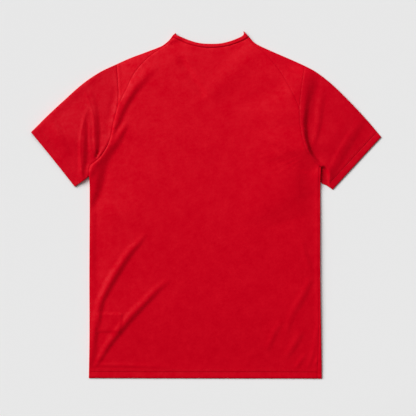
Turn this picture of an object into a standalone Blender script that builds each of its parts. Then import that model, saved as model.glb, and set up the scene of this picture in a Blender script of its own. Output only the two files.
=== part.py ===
"""Training top: a short-sleeved V-neck sports shirt that lies flat on its front, back up.

Sizes are in millimetres, and MM turns them into metres where a mesh is made. +Z is up from the
surface the top lies on, +Y runs to the neck, and +X to the wearer's right sleeve. The origin is
the middle of the top's outline, on the surface.

Each piece of cloth is a wall made from its middle surface: a lower ply that lies flat, an upper
ply that carries the folds, or both joined by cloth that rolls round a folded edge.
"""
import math

import bpy
import numpy as np
from mathutils.geometry import delaunay_2d_cdt

MM = 0.001

# The cloth, and how its plies lie on each other
WALL = 1.2                                # thickness of one ply
PLY_GAP = 0.3                             # least air between the two plies
SEAM_GAP = 0.3                            # room between two pieces along a seam
LOW_MID = WALL / 2                        # height of the lower ply's middle surface
HIGH_MID = LOW_MID + WALL + PLY_GAP       # height of the upper ply's middle where it lies flat
ROLL_RADIUS = (HIGH_MID - LOW_MID) / 2    # of the middle surface round a folded edge
ROLL_REACH = ROLL_RADIUS + WALL / 2       # how far a folded edge reaches past its two plies
ROLL_STEPS = 4                            # facets round a folded edge
LOFT = 1.4                                # how far the upper ply rises away from folded edges
LOFT_RUN = 45.0                           # over this distance

# How finely the walls are faceted
LINE_STEP = 16.0                          # between points along an outline
LATTICE_STEP = 30.0                       # between points inside a panel
LATTICE_CLEAR = 13.5                      # from those to any other point
CREST_STEP = 14.0                         # between points along a fold
CREST_CLEAR = 4.0                         # from those to an outline
BACK_STATIONS = 14                        # along the neck band, from neck point to neck point
FRONT_STATIONS = 12                       # and down either side of the V

# Lines of the cut as it lies. Each runs away from the neck or down the body, as a smooth curve
# through its points. The two sides differ a little, as a top spread out by hand does.
LEFT = {
    "shoulder": [(-74.0, 364.6), (-93.0, 347.4), (-130.5, 330.0), (-165.0, 317.0), (-194.0, 304.8)],
    "sleeve_top": [(-194.0, 304.8), (-229.3, 286.8), (-267.0, 261.0), (-310.3, 222.0),
                   (-351.0, 183.0), (-377.5, 156.5)],
    "raglan": [(-70.6, 361.4), (-86.7, 348.0), (-123.0, 320.0), (-154.0, 284.6), (-175.5, 241.5),
               (-191.2, 214.0)],
    "armhole": [(-194.0, 304.8), (-190.0, 262.0), (-191.2, 214.0), (-197.2, 183.0),
                (-205.5, 153.0), (-225.0, 114.0), (-246.0, 88.4), (-251.4, 86.6)],
    "underarm": [(-252.2, 86.4), (-252.4, 60.5), (-262.0, 52.0), (-283.3, 38.0)],
    "cuff": [(-283.3, 38.0), (-330.4, 98.6), (-377.5, 156.5)],
    "side": [(-251.4, 86.6), (-251.2, 28.0), (-252.0, -150.0), (-251.8, -290.0), (-253.4, -374.0)],
    "side_seam": [(-248.6, 86.6), (-248.2, 28.0), (-248.8, -150.0), (-248.4, -290.0),
                  (-248.8, -374.0)],
    "forward_seam": [(-69.0, 327.0), (-101.0, 321.0), (-137.5, 307.5), (-192.6, 283.0)],
    "front_band_seam": [(-74.0, 364.6), (-69.0, 327.0), (-50.3, 294.5), (-17.6, 248.5),
                        (-5.5, 227.5)],
    "front_neck_edge": [(-66.4, 370.4), (-60.4, 331.0), (-42.5, 299.8), (-10.4, 253.6),
                        (-4.4, 242.0)],
}
RIGHT = {
    "shoulder": [(93.0, 363.0), (111.0, 347.4), (145.5, 330.0), (185.0, 313.0), (213.0, 300.4)],
    "sleeve_top": [(213.0, 300.4), (237.3, 286.8), (270.3, 261.0), (310.3, 222.0), (347.0, 183.0),
                   (377.5, 146.4)],
    "raglan": [(89.2, 360.4), (104.9, 348.2), (125.2, 329.6), (159.3, 287.6), (189.5, 233.0),
               (199.6, 208.0)],
    "armhole": [(213.0, 300.4), (204.4, 256.0), (199.6, 208.0), (204.7, 150.8), (219.8, 109.7),
                (242.0, 83.4), (246.9, 81.8)],
    "underarm": [(247.8, 81.6), (247.6, 47.0), (259.0, 41.0), (272.7, 32.4)],
    "cuff": [(272.7, 32.4), (325.6, 90.4), (377.5, 146.4)],
    "side": [(246.9, 81.8), (246.2, 28.0), (246.2, -150.0), (247.8, -270.0), (249.4, -375.0)],
    "side_seam": [(243.2, 81.8), (242.4, 28.0), (242.2, -150.0), (243.0, -270.0), (239.8, -375.0)],
    "forward_seam": [(92.5, 333.0), (118.0, 323.5), (152.0, 308.5), (208.2, 280.0)],
    "front_band_seam": [(93.0, 363.0), (92.5, 333.0), (62.0, 298.8), (21.6, 252.0), (-5.5, 227.5)],
    "front_neck_edge": [(82.0, 375.0), (82.6, 338.0), (55.2, 304.8), (14.8, 258.0), (-4.4, 242.0)],
}
BACK_NECK_SEAM = [(-74.0, 364.6), (-70.6, 361.4), (-46.3, 350.0), (-22.0, 343.0), (8.0, 338.8),
                  (38.3, 341.0), (74.6, 353.4), (89.2, 360.4), (93.0, 363.0)]
BACK_NECK_EDGE = [(-66.4, 370.4), (-56.7, 363.2), (-30.8, 353.2), (11.0, 346.4), (47.0, 351.0),
                  (72.9, 361.8), (82.0, 375.0)]
HEM = [(-253.4, -374.0), (-120.0, -374.4), (249.4, -375.0)]

# The largest folds of the upper ply. Each has a crest, whose height changes from point to point,
# and a flank on either side of it: uphill faces the upper left, downhill the lower right.
#        uphill  downhill  crest: x, y, height
FOLDS = [
    (20.0, 22.0, [(-104.0, 304.0, 0.0), (-134.0, 277.0, 3.0), (-166.0, 236.0, 4.5),
                  (-186.0, 196.0, 4.5), (-198.0, 166.0, 2.0), (-202.0, 150.0, 0.0)]),
    (11.0, 11.0, [(-166.0, 180.0, 0.0), (-188.0, 146.0, 3.0), (-204.0, 126.0, 3.5),
                  (-221.0, 106.0, 3.0), (-231.0, 78.0, 3.0), (-239.0, 36.0, 0.0)]),
    (18.0, 18.0, [(-126.0, -60.0, 0.0), (-151.0, -90.0, 3.0), (-183.0, -134.0, 4.5),
                  (-212.0, -180.0, 4.5), (-230.0, -216.0, 3.5), (-240.0, -262.0, 0.0)]),
    (14.0, 14.0, [(-78.0, -164.0, 0.0), (-130.0, -203.0, 3.0), (-162.0, -236.0, 4.0),
                  (-191.0, -268.0, 4.0), (-215.0, -299.0, 3.0), (-239.0, -340.0, 0.0)]),
    (12.0, 12.0, [(228.0, -150.0, 0.0), (209.0, -189.0, 2.2), (191.0, -220.0, 2.4),
                  (179.0, -244.0, 2.2), (168.0, -280.0, 0.0)]),
    (11.0, 12.0, [(206.0, -262.0, 0.0), (199.0, -280.0, 2.8), (189.0, -300.0, 3.0),
                  (172.0, -328.0, 0.0)]),
    (9.0, 10.0, [(-250.0, 262.0, 0.0), (-242.0, 218.0, 3.2), (-237.0, 180.0, 3.6),
                 (-236.0, 145.0, 3.6), (-233.0, 112.0, 0.0)]),
    (9.0, 9.0, [(-257.0, 202.0, 0.0), (-265.0, 160.0, 2.8), (-267.0, 128.0, 3.2),
                (-267.0, 100.0, 2.8), (-264.0, 66.0, 0.0)]),
    (16.0, 17.0, [(342.0, 196.0, 0.0), (314.0, 149.0, 3.4), (294.0, 120.0, 4.2),
                  (278.0, 94.0, 3.6), (266.0, 62.0, 0.0)]),
    (10.0, 16.0, [(224.0, 262.0, 0.0), (222.0, 205.0, 3.2), (221.0, 160.0, 3.6),
                  (229.0, 128.0, 3.0), (244.0, 98.0, 0.0)]),
]
EDGE_CALM = 14.0                          # folds die away over this distance from a folded edge

# Colour and roughness of the cloth
CLOTH_RED = (0.56, 0.004, 0.014, 1.0)
BAND_RED = (0.52, 0.004, 0.014, 1.0)
CLOTH_ROUGHNESS = 0.62

SHARP_EDGE = math.radians(40.0)           # an edge that bends more than this is shaded sharp


# Lines in the plane

def smooth_line(points, step=LINE_STEP):
    """A Catmull-Rom curve through points, sampled about every step, with every point kept."""
    points = np.array(points, float)
    ends = np.vstack([2 * points[0] - points[1], points, 2 * points[-1] - points[-2]])
    line = [points[0]]
    for before, start, stop, after in zip(ends, ends[1:], ends[2:], ends[3:]):
        reach = np.hypot(*(stop - start)[:2])
        count = max(1, round(reach / step))
        leave = (stop - before) * reach / (np.hypot(*(start - before)[:2]) + reach)
        arrive = (after - start) * reach / (reach + np.hypot(*(after - stop)[:2]))
        for t in np.arange(1, count + 1) / count:
            line.append((1 + 2 * t) * (1 - t) ** 2 * start + t * (1 - t) ** 2 * leave
                        + t * t * (3 - 2 * t) * stop + t * t * (t - 1) * arrive)
    return np.array(line)


def evenly(line, count):
    """The line, resampled to count points at equal distances along it."""
    lengths = np.hypot(*np.diff(line, axis=0).T)
    along = np.concatenate([[0.0], np.cumsum(lengths)])
    wanted = np.linspace(0.0, along[-1], count)
    return np.column_stack([np.interp(wanted, along, line[:, axis]) for axis in (0, 1)])


def part_of(line, start=None, stop=None):
    """The stretch of a line between its points nearest to start and stop."""
    first = 0 if start is None else nearest_index(line, start)
    last = len(line) - 1 if stop is None else nearest_index(line, stop)
    return line[first:last + 1]


def nearest_index(line, spot):
    return int(np.hypot(*(line - np.array(spot, float)).T).argmin())


def left_normals(line):
    """Unit normals on the left of a line, stretched at bends so that offsets stay parallel."""
    runs = np.diff(line, axis=0)
    runs /= np.hypot(*runs.T)[:, None]
    sides = np.column_stack([-runs[:, 1], runs[:, 0]])
    normals = np.vstack([sides[:1], sides[:-1] + sides[1:], sides[-1:]])
    normals /= np.hypot(*normals.T)[:, None]
    bends = np.concatenate([[1.0], (normals[1:-1] * sides[1:]).sum(1), [1.0]])
    return normals / np.maximum(bends, 0.5)[:, None]


def crossing(a, b, c, d):
    """Where the line through a and b meets the line through c and d."""
    run, other = b - a, d - c
    turn = run[0] * other[1] - run[1] * other[0]
    if abs(turn) < 0.05 * np.hypot(*run) * np.hypot(*other):
        return (b + c) / 2
    return a + run * ((c - a)[0] * other[1] - (c - a)[1] * other[0]) / turn


def distance_to(line, spots):
    """For each spot: its distance to a line, the nearest stretch, how far along it, and the side."""
    start, run = line[:-1, :2], np.diff(line[:, :2], axis=0)
    gap = spots[:, None] - start
    along = np.clip((gap * run).sum(2) / (run ** 2).sum(1), 0.0, 1.0)
    gap = gap - along[..., None] * run
    distances = np.hypot(gap[..., 0], gap[..., 1])
    stretch = distances.argmin(1)
    rows = np.arange(len(spots))
    side = run[stretch, 0] * gap[rows, stretch, 1] - run[stretch, 1] * gap[rows, stretch, 0]
    return distances[rows, stretch], stretch, along[rows, stretch], side


def is_inside(outline, spots):
    """Which spots lie inside a closed outline."""
    x, y = spots[:, 0, None], spots[:, 1, None]
    ax, ay = outline.T
    bx, by = np.roll(outline, -1, axis=0).T
    spans = (ay > y) != (by > y)
    level = np.where(ay == by, 1.0, by - ay)
    hits = spans & (x < ax + (bx - ax) * (y - ay) / level)
    return hits.sum(1) % 2 == 1


# The lie of the upper ply

def bump(reach):
    """A rounded ridge's height, 1 on its crest and 0 from reach 1 outwards."""
    return np.cos(np.clip(reach, 0.0, 1.0) * math.pi / 2) ** 2


def ease(reach):
    """0 to 1, level at both ends."""
    reach = np.clip(reach, 0.0, 1.0)
    return reach * reach * (3 - 2 * reach)


def lift(spots, folded_edges):
    """Height of the upper ply at each spot above where it would lie flat."""
    away = np.min([distance_to(line, spots)[0] for line in folded_edges], axis=0)
    height = LOFT * ease(away / LOFT_RUN)
    for uphill, downhill, crest in FOLDS:
        crest = smooth_line(crest, CREST_STEP)
        distance, stretch, along, side = distance_to(crest, spots)
        level = crest[stretch, 2] + along * (crest[stretch + 1, 2] - crest[stretch, 2])
        width = np.where(side * (crest[-1, 1] - crest[0, 1]) > 0, uphill, downhill)
        height += level * bump(distance / width) * ease(away / EDGE_CALM)
    return np.maximum(height, 0.0)


# Walls of cloth

class Sheet:
    """The middle surface of a piece: its points, the way the cloth's outside faces, and faces."""

    def __init__(self):
        self.points = []
        self.facing = []
        self.faces = []

    def add(self, spot, height, facing):
        self.points.append((spot[0], spot[1], height))
        self.facing.append(facing)
        return len(self.points) - 1

    def add_strip(self, first, second):
        """Quads between two rows of points, facing out where first runs on second's left."""
        for a, b, c, d in zip(first, second, second[1:], first[1:]):
            self.faces.append((a, b, c, d))

    def make(self, name, material):
        """A closed wall: the outside, the inside, and a rim along every free edge."""
        points = np.array(self.points)
        half = np.array(self.facing) * WALL / 2
        count = len(points)
        inner = [tuple(corner + count for corner in reversed(face)) for face in self.faces]
        edges = {(face[i - 1], face[i]) for face in self.faces for i in range(len(face))}
        rim = [(b, a, a + count, b + count) for a, b in edges if (b, a) not in edges]
        mesh = bpy.data.meshes.new(name)
        corners = np.vstack([points + half, points - half]) * MM
        mesh.from_pydata(corners.tolist(), [], self.faces + inner + sorted(rim))
        mesh.shade_smooth()
        mesh.set_sharp_from_angle(angle=SHARP_EDGE)
        mesh.materials.append(material)
        body = bpy.data.objects.new(name, mesh)
        bpy.context.scene.collection.objects.link(body)
        return body


def panel_outline(edges):
    """The closed outline of a panel, counter-clockwise, and where each of its edges runs in it.

    Each edge is (name, line, inset): a folded edge is set in by the roll's reach, a seam by half
    the seam's gap, and a free edge by nothing."""
    around = np.vstack([line[:-1] for _, line, _ in edges])
    ahead = np.roll(around, -1, axis=0)
    if (around[:, 0] * ahead[:, 1] - ahead[:, 0] * around[:, 1]).sum() < 0:
        edges = [(name, line[::-1], inset) for name, line, inset in reversed(edges)]
    moved = [line + left_normals(line) * inset for _, line, inset in edges]
    for line, after in zip(moved, moved[1:] + moved[:1]):
        corner = crossing(line[-2], line[-1], after[0], after[1])
        line[-1] = corner
        after[0] = corner
    outline = np.vstack([line[:-1] for line in moved])
    spans = {}
    start = 0
    for (name, _, _), line in zip(edges, moved):
        spans[name] = [index % len(outline) for index in range(start, start + len(line))]
        start += len(line) - 1
    return outline, spans


def crest_rows(outline):
    """Rows of points along each fold's crest and flanks, where they lie inside the outline."""
    rows = []
    for uphill, downhill, crest in FOLDS:
        line = smooth_line(crest, CREST_STEP)[:, :2]
        normals = left_normals(line)
        rises = crest[-1][1] > crest[0][1]
        on_left, on_right = (uphill, downhill) if rises else (downhill, uphill)
        for offset in (on_left, on_left / 2, 0.0, -on_right / 2, -on_right):
            rows.append(line + normals * offset)
    closed = np.vstack([outline, outline[:1]])
    return [row[is_inside(outline, row) & (distance_to(closed, row)[0] > CREST_CLEAR)]
            for row in rows]


def lattice(outline, taken):
    """Points of a triangular lattice inside the outline, clear of it and of the taken points."""
    low, high = outline.min(0), outline.max(0)
    rows = np.arange(low[1], high[1], LATTICE_STEP * math.sqrt(0.75))
    columns = np.arange(low[0], high[0], LATTICE_STEP)
    spots = np.array([(x + (row % 2) * LATTICE_STEP / 2, y) for row, y in enumerate(rows)
                      for x in columns])
    spots = spots[is_inside(outline, spots)]
    closed = np.vstack([outline, outline[:1]])
    spots = spots[distance_to(closed, spots)[0] > LATTICE_CLEAR]
    if len(taken):
        gaps = np.hypot(*(spots[:, None] - taken).transpose(2, 0, 1)).min(1)
        spots = spots[gaps > LATTICE_CLEAR]
    return spots


def triangulate(outline, with_folds):
    """Points and triangles that fill an outline; its own points come first."""
    inner = np.empty((0, 2))
    if with_folds:
        taken = np.vstack(crest_rows(outline))
        inner = np.vstack([taken, lattice(outline, taken)])
    spots = np.vstack([outline, inner])
    ring = [(index, (index + 1) % len(outline)) for index in range(len(outline))]
    found = delaunay_2d_cdt(spots.tolist(), ring, [], 0, 1e-6, True)
    own = [came_from[0] for came_from in found[3]]
    triangles = np.array([[own[corner] for corner in triangle] for triangle in found[2]])
    kept = is_inside(outline, spots[triangles].mean(1))
    return spots, [tuple(triangle) for triangle in triangles[kept].tolist()]


def add_upper_ply(sheet, outline, folded_edges):
    """The upper ply over an outline. Returns its points' indices, the outline's first."""
    spots, triangles = triangulate(outline, True)
    heights = HIGH_MID + lift(spots, folded_edges)
    indices = [sheet.add(spot, height, (0, 0, 1)) for spot, height in zip(spots, heights)]
    sheet.faces += [tuple(indices[corner] for corner in triangle) for triangle in triangles]
    return indices


def add_lower_ply(sheet, outline):
    """The lower ply, flat on the surface and facing down. Returns its points' indices."""
    spots, triangles = triangulate(outline, False)
    indices = [sheet.add(spot, LOW_MID, (0, 0, -1)) for spot in spots]
    sheet.faces += [tuple(indices[corner] for corner in reversed(face)) for face in triangles]
    return indices


def add_roll(sheet, upper, lower):
    """Cloth rolled round a folded edge, from the upper ply's points to the lower ply's.

    Both rows run counter-clockwise round the panel, so the edge's outside is on their right."""
    line = np.array([sheet.points[index][:2] for index in upper])
    outward = -left_normals(line)
    rows = [upper]
    for step in range(1, ROLL_STEPS):
        turn = math.pi * step / ROLL_STEPS
        row = []
        for index, (x, y) in zip(upper, outward):
            high = sheet.points[index][2]
            spot = np.array(sheet.points[index][:2]) + ROLL_RADIUS * math.sin(turn) * np.array((x, y))
            height = (high + LOW_MID) / 2 + (high - LOW_MID) / 2 * math.cos(turn)
            row.append(sheet.add(spot, height,
                                 (x * math.sin(turn), y * math.sin(turn), math.cos(turn))))
        rows.append(row)
    rows.append(lower)
    for above, below in zip(rows, rows[1:]):
        sheet.add_strip(above, below)


# The pieces

def cut_lines(side):
    """A side's lines as smooth curves, by name."""
    return {name: smooth_line(points) for name, points in side.items()}


def folded_edges_of(sides):
    """Every line along which the top is folded when it lies flat."""
    names = ("shoulder", "sleeve_top", "underarm", "side")
    return [side[name] for side in sides for name in names]


def make_back(sides, folded_edges, material):
    """The back panel: one upper ply from the hem to the back neck."""
    left, right = sides
    neck = smooth_line(BACK_NECK_SEAM)
    hem = part_of(smooth_line(HEM), left["side_seam"][-1], right["side_seam"][-1])
    hem[0], hem[-1] = left["side_seam"][-1], right["side_seam"][-1]
    edges = [("hem", hem, 0.0)]
    edges += back_half(right, outwards=False)
    edges.append(("neck", part_of(neck, left["raglan"][0], right["raglan"][0])[::-1], SEAM_GAP / 2))
    edges += back_half(left, outwards=True)
    outline, _ = panel_outline(edges)
    sheet = Sheet()
    add_upper_ply(sheet, outline, folded_edges)
    return sheet.make("back", material)


def back_half(side, outwards):
    """A side's edges of the back panel, from the neck down, or from the hem up."""
    armhole = part_of(side["armhole"], side["raglan"][-1]).copy()
    seam = side["side_seam"].copy()
    seam[0] = armhole[-1] = crossing(armhole[-2], armhole[-1], seam[0], seam[1])
    edges = [("raglan", side["raglan"], SEAM_GAP / 2), ("armhole", armhole, SEAM_GAP / 2),
             ("side_seam", seam, SEAM_GAP / 2)]
    if outwards:
        return edges
    return [(name, line[::-1], inset) for name, line, inset in reversed(edges)]


def make_front(sides, material):
    """The front panel: a lower ply with the V neck, wrapped round both sides to the side seams."""
    left, right = sides
    edges = [("hem", smooth_line(HEM), 0.0)]
    edges += [("right_" + name, line[::-1], inset)
              for name, line, inset in reversed(front_half(right))]
    edges += [("left_" + name, line, inset) for name, line, inset in front_half(left)]
    outline, spans = panel_outline(edges)
    sheet = Sheet()
    lower = add_lower_ply(sheet, outline)
    for side, prefix in ((left, "left_"), (right, "right_")):
        add_side_wrap(sheet, side, [lower[index] for index in spans[prefix + "side"]])
    return sheet.make("front", material)


def front_half(side):
    """A side's edges of the front panel, from the point of the V down to the hem."""
    band_seam = part_of(side["front_band_seam"], side["forward_seam"][0])[::-1]
    armhole = part_of(side["armhole"], side["forward_seam"][-1]).copy()
    forward_seam = side["forward_seam"].copy()
    forward_seam[-1] = armhole[0]
    return [("band_seam", band_seam, SEAM_GAP / 2), ("forward_seam", forward_seam, SEAM_GAP / 2),
            ("armhole", armhole, SEAM_GAP / 2), ("side", side["side"], ROLL_REACH)]


def add_side_wrap(sheet, side, lower):
    """The front's cloth rolled over its side and laid on top as far as the side seam."""
    line = np.array([sheet.points[index][:2] for index in lower])
    upper = [sheet.add(spot, HIGH_MID, (0, 0, 1)) for spot in line]
    add_roll(sheet, upper, lower)
    seam = side["side_seam"]
    across = np.interp(-line[:, 1], -seam[:, 1], seam[:, 0])
    across += math.copysign(SEAM_GAP / 2, seam[0, 0])
    edge = [sheet.add((x, y), HIGH_MID, (0, 0, 1)) for x, y in zip(across, line[:, 1])]
    sheet.add_strip(edge, upper)


def make_shoulder(name, side, folded_edges, material):
    """A shoulder panel: an upper wedge, folded over the shoulder edge to the forward seam."""
    neck_seam = np.array([side["raglan"][0], side["shoulder"][0]])
    armhole_above = part_of(side["armhole"], None, side["raglan"][-1])
    armhole_below = part_of(side["armhole"], None, side["forward_seam"][-1])
    forward_seam = side["forward_seam"].copy()
    forward_seam[-1] = armhole_below[-1]
    band_seam = part_of(side["front_band_seam"], None, side["forward_seam"][0])
    half = SEAM_GAP / 2
    outline, spans = panel_outline([
        ("neck", neck_seam, half), ("shoulder", side["shoulder"], ROLL_REACH),
        ("armhole", armhole_above, half), ("raglan", side["raglan"][::-1], half)])
    below, spans_below = panel_outline([
        ("band", band_seam[::-1], half), ("shoulder", side["shoulder"], ROLL_REACH),
        ("armhole", armhole_below, half), ("forward", forward_seam[::-1], half)])
    edge, edge_below = outline[spans["shoulder"]], below[spans_below["shoulder"]]
    below[spans_below["shoulder"]] = edge
    sheet = Sheet()
    upper = add_upper_ply(sheet, outline, folded_edges)
    lower = add_lower_ply(sheet, below)
    add_roll(sheet, [upper[index] for index in spans["shoulder"]],
             [lower[index] for index in spans_below["shoulder"]])
    return sheet.make(name, material)


def make_sleeve(name, side, folded_edges, material):
    """A sleeve: a tube laid flat, open at the cuff and at the armhole."""
    outline, spans = panel_outline([
        ("armhole", side["armhole"], SEAM_GAP / 2), ("underarm", side["underarm"], ROLL_REACH),
        ("cuff", side["cuff"], 0.0), ("sleeve_top", side["sleeve_top"][::-1], ROLL_REACH)])
    sheet = Sheet()
    upper = add_upper_ply(sheet, outline, folded_edges)
    lower = add_lower_ply(sheet, outline)
    for fold in ("underarm", "sleeve_top"):
        add_roll(sheet, [upper[index] for index in spans[fold]],
                 [lower[index] for index in spans[fold]])
    return sheet.make(name, material)


def band_lines(sides):
    """The band's neck edge and sewn edge, each in two stretches: along the back neck to the right
    neck point, and from there down the V and up again to the left neck point."""
    left, right = sides
    back = [evenly(smooth_line(line), BACK_STATIONS) for line in (BACK_NECK_EDGE, BACK_NECK_SEAM)]
    back[1] += left_normals(back[1]) * SEAM_GAP / 2
    front = []
    for name in ("front_neck_edge", "front_band_seam"):
        down, up = evenly(right[name], FRONT_STATIONS), evenly(left[name], FRONT_STATIONS)[::-1]
        front.append(np.vstack([down, up[1:]]))
    front[1] -= left_normals(front[1]) * SEAM_GAP / 2
    for end, inner in ((0, 1), (-1, -2)):
        across = back[1][end] - back[0][end]
        outward = np.array((-across[1], across[0])) / np.hypot(*across)
        outward *= math.copysign(1.0, (back[0][end] - back[0][inner]) @ outward)
        for line, other in zip(back, front):
            line[end] -= outward * ROLL_REACH
            other[-1 - end] = line[end]
    return back, front


def make_neck_band(sides, folded_edges, material):
    """The neck band: a ring along the back neck, folded over at both neck points, down the V."""
    back, front = band_lines(sides)
    sheet = Sheet()
    rows = [[], []]
    for row, line in zip(rows, back):
        heights = HIGH_MID + lift(line, folded_edges)
        row.append([sheet.add(spot, height, (0, 0, 1)) for spot, height in zip(line, heights)])
    for row, line in zip(rows, front):
        row.append([sheet.add(spot, LOW_MID, (0, 0, -1)) for spot in line])
    (edge_above, edge_below), (seam_above, seam_below) = rows
    add_roll(sheet, [seam_above[-1], edge_above[-1]], [seam_below[0], edge_below[0]])
    add_roll(sheet, [edge_above[0], seam_above[0]], [edge_below[-1], seam_below[-1]])
    sheet.add_strip(edge_above, seam_above)
    sheet.add_strip(edge_below, seam_below)
    return sheet.make("neck_band", material)


def make_material(name, colour):
    """Satin polyester cloth."""
    material = bpy.data.materials.new(name)
    material.use_nodes = True
    shader = material.node_tree.nodes["Principled BSDF"]
    shader.inputs["Base Color"].default_value = colour
    shader.inputs["Roughness"].default_value = CLOTH_ROUGHNESS
    shader.inputs["Metallic"].default_value = 0.0
    return material


def main():
    for old in list(bpy.data.objects):
        bpy.data.objects.remove(old, do_unlink=True)
    sides = (cut_lines(LEFT), cut_lines(RIGHT))
    folded_edges = folded_edges_of(sides)
    make_front(sides, make_material("front_cloth", CLOTH_RED))
    make_back(sides, folded_edges, make_material("back_cloth", CLOTH_RED))
    for name, side in zip(("left", "right"), sides):
        make_shoulder("shoulder_" + name, side, folded_edges,
                      make_material("shoulder_cloth_" + name, CLOTH_RED))
        make_sleeve("sleeve_" + name, side, folded_edges,
                    make_material("sleeve_cloth_" + name, CLOTH_RED))
    make_neck_band(sides, folded_edges, make_material("band_cloth", BAND_RED))


main()
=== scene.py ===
"""The looks of the training top: cloth shells with its creases, seams, hems and stitches.

Sizes are in millimetres, as in the solids' source, and MM turns them into metres where a mesh is
made. The frame is the solids' own: +Z up from the floor, +Y to the neck, +X to the wearer's right
sleeve. Every shell follows its solid: the same lines, the same largest folds, and then the finer
creases, the marks of what lies beneath, and the sewing.
"""

import math

import bpy
import numpy as np
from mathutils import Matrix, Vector
from mathutils.geometry import delaunay_2d_cdt
from mathutils.kdtree import KDTree


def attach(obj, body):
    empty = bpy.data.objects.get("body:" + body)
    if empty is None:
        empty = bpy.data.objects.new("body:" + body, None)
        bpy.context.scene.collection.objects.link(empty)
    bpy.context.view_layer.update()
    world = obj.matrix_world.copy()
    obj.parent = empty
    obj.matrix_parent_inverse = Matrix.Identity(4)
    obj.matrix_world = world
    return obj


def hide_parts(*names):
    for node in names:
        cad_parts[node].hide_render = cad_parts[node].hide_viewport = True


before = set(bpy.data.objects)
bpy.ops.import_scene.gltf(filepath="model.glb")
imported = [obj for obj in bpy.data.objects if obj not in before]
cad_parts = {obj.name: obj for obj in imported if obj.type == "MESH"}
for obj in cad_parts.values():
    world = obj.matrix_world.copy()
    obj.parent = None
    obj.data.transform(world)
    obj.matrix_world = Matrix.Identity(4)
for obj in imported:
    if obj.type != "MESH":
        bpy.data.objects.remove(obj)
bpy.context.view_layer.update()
BODY = "root"
MM = 0.001

# The cloth. Its outside lies where the solids' outside lies, and the wall is thinner.
WALL = 0.8  # thickness of one ply
HEM_WALL = 1.0  # and of a turned hem
EDGE_WALL = 0.5  # and at a hem's very edge,
EDGE_ROUND = 1.2  # which is rounded off over this way
BAND_WALL = 1.5  # and of the neck band, cloth doubled over
SEAM_GAP = 0.12  # room between two pieces along a seam
SEAM_INSET = SEAM_GAP / 2
HIGH_OUTSIDE = 2.5  # height of the upper ply's outside at a folded edge
LEAST_LIFT = -0.9  # lower than this, the upper ply would cut the lower one
ROLL_REACH = 1.35  # how far a folded edge reaches past its two plies
ROLL_STEPS = 8  # facets round a folded edge
WRAP_ROWS = 4  # rows of points from a side's fold to its seam
SHOULDER_RISE = 1.5  # how far the cloth rises just inside a folded edge
LOFT = 2.0  # and how much further over a longer way
LOFT_RUN = 55.0
HEM_START = 12.0  # the plies lie together this far in from a hem
HEM_RUN = 150.0  # and part over this way
CUFF_RUN = 75.0  # or this, at a cuff
RIPPLE = 0.08  # height of the unevenness of loose cloth
SLANTING_RIPPLE = 0.056  # and of its waves aslant

# How finely the shells are faceted
LINE_STEP = 3.0  # between points along an outline
GUIDE_STEP = 8.0  # and along a line that heights are measured from
FOLD_STEP = 5.0  # and along a crest
BODY_STEP = 3.2  # between points inside the back's upper ply
SLEEVE_STEP = 2.4  # and inside the sleeves' and shoulders'
LOWER_STEP = 12.0  # and inside a lower ply, which is flat
EDGE_ROWS = (0.8, 1.7, 2.8)  # rows of points this far inside an outline
EDGE_GAP = 0.8  # least gap to the outline, as a share of the first row's
POINT_GAP = 0.45  # least gap between points, as a share of the step
ROW_SHARE = math.sqrt(0.75)  # of the step, from row to row of even triangles
MERGE_GAP = 1e-6  # points nearer than this would be one
LEAST_BEND = 0.5  # at a bend, an offset stretches to twice itself at most
LEAST_TURN = 0.3  # lines that meet at a smaller sine count as one line
SHARP_ANGLE = math.radians(55.0)  # edges that bend more are shaded sharp

# Sewing
HEM_ROWS = (13.9, 19.5)  # a twin needle's two rows, from the hem's edge
BESIDE_ROWS = (-1.9, -0.95, 0.0, 0.95, 1.9)  # and rows of points beside each of them
HEM_TURN = 21.5  # how deep the hem is turned up
TURN_RUN = 2.0  # over this way the wall thins to one ply there
#     from the edge, height: a turned hem's outside, which the needle's rows press in
HEM_PROFILE = [(0.0, -1.0), (1.6, 0.3), (4.5, 0.5), (12.4, -0.35), (15.5, 0.3), (22.5, 0.0)]
CUFF_SHARE = 0.5  # the cuffs are pressed flatter than that
NEEDLE_GROOVE = 0.6  # how deep the row nearest the edge is drawn in
NEEDLE_REACH = 1.2
NEEDLE_PRESS = 0.3  # and how much thinner the cloth is there
LOWER_RELIEF = 0.3  # the lower ply's hem sinks in by this share of the upper's
STITCH_PITCH = 3.4
STITCH_LENGTH = 2.5
STITCH_RADIUS = 0.32
STITCH_SIDES = 6
STITCH_FLATNESS = 0.8  # a stitch's height, as a share of its width
STITCH_LIFT = 0.1  # how far its middle stands out of the cloth
STITCH_SINK = 0.5  # and beneath, how far it sinks in, as a share of its radius
#     place along a stitch as a share of its length, girth there
STITCH_RINGS = ((-0.5, 0.35), (-0.36, 1.0), (0.36, 1.0), (0.5, 0.35))

# The neck band
BAND_STEP = 0.55  # between stations along the band, two to a rib
BAND_ROWS = 11  # points across the band
BAND_RISE = 0.4  # how far the band stands above the cloth beside it
#     share of the way from the neck edge to the seam, further height
BAND_PROFILE = [(0.0, -0.35), (0.15, 0.15), (0.7, 0.7), (0.87, 0.4), (1.0, -0.7)]
RIB_DEPTH = 0.09
TIP_RISE = 1.0  # how far the band stands up at the neck points
TIP_RUN = 26.0
BAND_TUCK = 0.4  # how far its sewn edge runs in under the back's

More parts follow.
